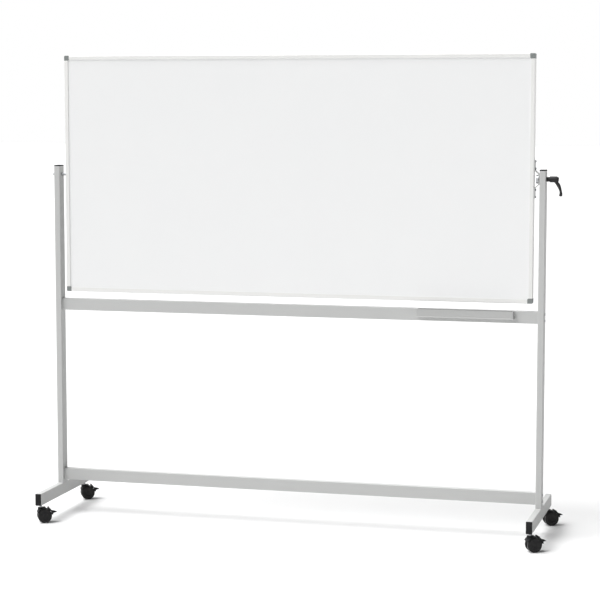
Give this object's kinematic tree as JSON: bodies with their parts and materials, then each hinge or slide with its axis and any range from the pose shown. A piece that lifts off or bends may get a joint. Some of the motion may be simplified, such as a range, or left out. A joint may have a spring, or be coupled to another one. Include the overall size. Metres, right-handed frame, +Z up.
{
  "type": "rolling whiteboard",
  "caption": "Two-sided whiteboard in an aluminium frame that turns between the posts of a wheeled tube stand, held by a clamping lever, with a small pen tray on the upper rail.",
  "frame": {"origin": "on the floor, midway between the two posts and below the board's pivot axis", "axes": "+X to the right along the board and its pivot axis, +Y from the front to the back, +Z up"},
  "size_m": [2.1772, 0.5723, 1.96],
  "materials": {
    "grey_paint": "satin powder coat, light grey",
    "white_sheet": "glossy white enamel",
    "core": "plain honeycomb board",
    "frame_aluminium": "satin anodised",
    "corner_plastic": "grey, moulded",
    "black_plastic": "black, moulded",
    "wheel_plastic": "black, slightly glossy",
    "sleeve_plastic": "dark grey bearing plastic",
    "zinc_steel": "zinc plated",
    "bracket_paint": "satin, light grey",
    "disc_plastic": "friction lining",
    "spring_steel": "plain spring wire"
  },
  "bodies": {
    "stand": {"post_left": "grey_paint", "post_right": "grey_paint", "post_caps": "black_plastic", "upper_rail": "grey_paint", "lower_rail": "grey_paint", "foot_left": "grey_paint", "foot_right": "grey_paint", "foot_end_caps": "black_plastic", "foot_bolts": "zinc_steel", "tube_nut_blocks": "zinc_steel", "rail_bolts": "zinc_steel", "pen_tray": "grey_paint", "tray_screws": "zinc_steel", "castor_sockets": "black_plastic", "castor_stems": "zinc_steel", "pivot_sleeve_left": "sleeve_plastic", "pivot_sleeve_right": "sleeve_plastic"},
    "board": {"board_core": "core", "front_sheet": "white_sheet", "rear_sheet": "white_sheet", "frame_top": "frame_aluminium", "frame_bottom": "frame_aluminium", "frame_left": "frame_aluminium", "frame_right": "frame_aluminium", "corner_top_left": "corner_plastic", "corner_top_right": "corner_plastic", "corner_bottom_left": "corner_plastic", "corner_bottom_right": "corner_plastic", "pivot_insert": "zinc_steel", "pivot_stud": "zinc_steel", "pivot_spacer": "zinc_steel", "cap_nut": "zinc_steel", "clamp_bracket": "bracket_paint", "bracket_screws": "zinc_steel", "clamp_spindle": "zinc_steel", "friction_disc": "disc_plastic"},
    "clamp_nut": {"lever_insert": "zinc_steel", "lever_screw": "zinc_steel", "lever_spring": "spring_steel"},
    "lever": {"clamp_lever": "black_plastic"},
    "front_left_castor": {"front_left_hood": "black_plastic", "front_left_axle": "zinc_steel"},
    "front_left_wheel_near": {"front_left_wheel_near": "wheel_plastic"},
    "front_left_wheel_far": {"front_left_wheel_far": "wheel_plastic"},
    "front_left_pedal": {"front_left_pedal": "black_plastic"},
    "front_right_castor": {"front_right_hood": "black_plastic", "front_right_axle": "zinc_steel"},
    "front_right_wheel_near": {"front_right_wheel_near": "wheel_plastic"},
    "front_right_wheel_far": {"front_right_wheel_far": "wheel_plastic"},
    "front_right_pedal": {"front_right_pedal": "black_plastic"},
    "back_left_castor": {"back_left_hood": "black_plastic", "back_left_axle": "zinc_steel"},
    "back_left_wheel_near": {"back_left_wheel_near": "wheel_plastic"},
    "back_left_wheel_far": {"back_left_wheel_far": "wheel_plastic"},
    "back_left_pedal": {"back_left_pedal": "black_plastic"},
    "back_right_castor": {"back_right_hood": "black_plastic", "back_right_axle": "zinc_steel"},
    "back_right_wheel_near": {"back_right_wheel_near": "wheel_plastic"},
    "back_right_wheel_far": {"back_right_wheel_far": "wheel_plastic"},
    "back_right_pedal": {"back_right_pedal": "black_plastic"}
  },
  "joints": [
    {"name": "board_tilt", "type": "hinge", "parent": "stand", "child": "board", "pos_m": [0, 0, 1.46], "axis": [1, 0, 0], "continuous": true},
    {"name": "clamp_turn", "type": "hinge", "parent": "board", "child": "clamp_nut", "pos_m": [0, 0, 1.46], "axis": [1, 0, 0], "range_deg": [0, 150]},
    {"name": "lever_lift", "type": "slide", "parent": "clamp_nut", "child": "lever", "axis": [1, 0, 0], "range_m": [0, 0.004], "stiffness_N_per_m": 600, "deforming": ["lever_spring"]},
    {"name": "front_left_swivel", "type": "hinge", "parent": "stand", "child": "front_left_castor", "pos_m": [-1.0355, -0.25, 0.07], "axis": [0, 0, 1], "continuous": true},
    {"name": "front_left_near_spin", "type": "hinge", "parent": "front_left_castor", "child": "front_left_wheel_near", "pos_m": [-1.02238, -0.24273, 0.03], "axis": [0.4848, -0.8746, 0], "continuous": true},
    {"name": "front_left_far_spin", "type": "hinge", "parent": "front_left_castor", "child": "front_left_wheel_far", "pos_m": [-1.02238, -0.24273, 0.03], "axis": [0.4848, -0.8746, 0], "continuous": true},
    {"name": "front_left_pedal_turn", "type": "hinge", "parent": "front_left_castor", "child": "front_left_pedal", "pos_m": [-1.01189, -0.23691, 0.05078], "axis": [0.4848, -0.8746, 0], "range_deg": [0, 12]},
    {"name": "front_right_swivel", "type": "hinge", "parent": "stand", "child": "front_right_castor", "pos_m": [1.0355, -0.25, 0.07], "axis": [0, 0, 1], "continuous": true},
    {"name": "front_right_near_spin", "type": "hinge", "parent": "front_right_castor", "child": "front_right_wheel_near", "pos_m": [1.04862, -0.24273, 0.03], "axis": [0.4848, -0.8746, 0], "continuous": true},
    {"name": "front_right_far_spin", "type": "hinge", "parent": "front_right_castor", "child": "front_right_wheel_far", "pos_m": [1.04862, -0.24273, 0.03], "axis": [0.4848, -0.8746, 0], "continuous": true},
    {"name": "front_right_pedal_turn", "type": "hinge", "parent": "front_right_castor", "child": "front_right_pedal", "pos_m": [1.05911, -0.23691, 0.05078], "axis": [0.4848, -0.8746, 0], "range_deg": [0, 12]},
    {"name": "back_left_swivel", "type": "hinge", "parent": "stand", "child": "back_left_castor", "pos_m": [-1.0355, 0.25, 0.07], "axis": [0, 0, 1], "continuous": true},
    {"name": "back_left_near_spin", "type": "hinge", "parent": "back_left_castor", "child": "back_left_wheel_near", "pos_m": [-1.02238, 0.25727, 0.03], "axis": [0.4848, -0.8746, 0], "continuous": true},
    {"name": "back_left_far_spin", "type": "hinge", "parent": "back_left_castor", "child": "back_left_wheel_far", "pos_m": [-1.02238, 0.25727, 0.03], "axis": [0.4848, -0.8746, 0], "continuous": true},
    {"name": "back_left_pedal_turn", "type": "hinge", "parent": "back_left_castor", "child": "back_left_pedal", "pos_m": [-1.01189, 0.26309, 0.05078], "axis": [0.4848, -0.8746, 0], "range_deg": [0, 12]},
    {"name": "back_right_swivel", "type": "hinge", "parent": "stand", "child": "back_right_castor", "pos_m": [1.0355, 0.25, 0.07], "axis": [0, 0, 1], "continuous": true},
    {"name": "back_right_near_spin", "type": "hinge", "parent": "back_right_castor", "child": "back_right_wheel_near", "pos_m": [1.04862, 0.25727, 0.03], "axis": [0.4848, -0.8746, 0], "continuous": true},
    {"name": "back_right_far_spin", "type": "hinge", "parent": "back_right_castor", "child": "back_right_wheel_far", "pos_m": [1.04862, 0.25727, 0.03], "axis": [0.4848, -0.8746, 0], "continuous": true},
    {"name": "back_right_pedal_turn", "type": "hinge", "parent": "back_right_castor", "child": "back_right_pedal", "pos_m": [1.05911, 0.26309, 0.05078], "axis": [0.4848, -0.8746, 0], "range_deg": [0, 12]}
  ]
}
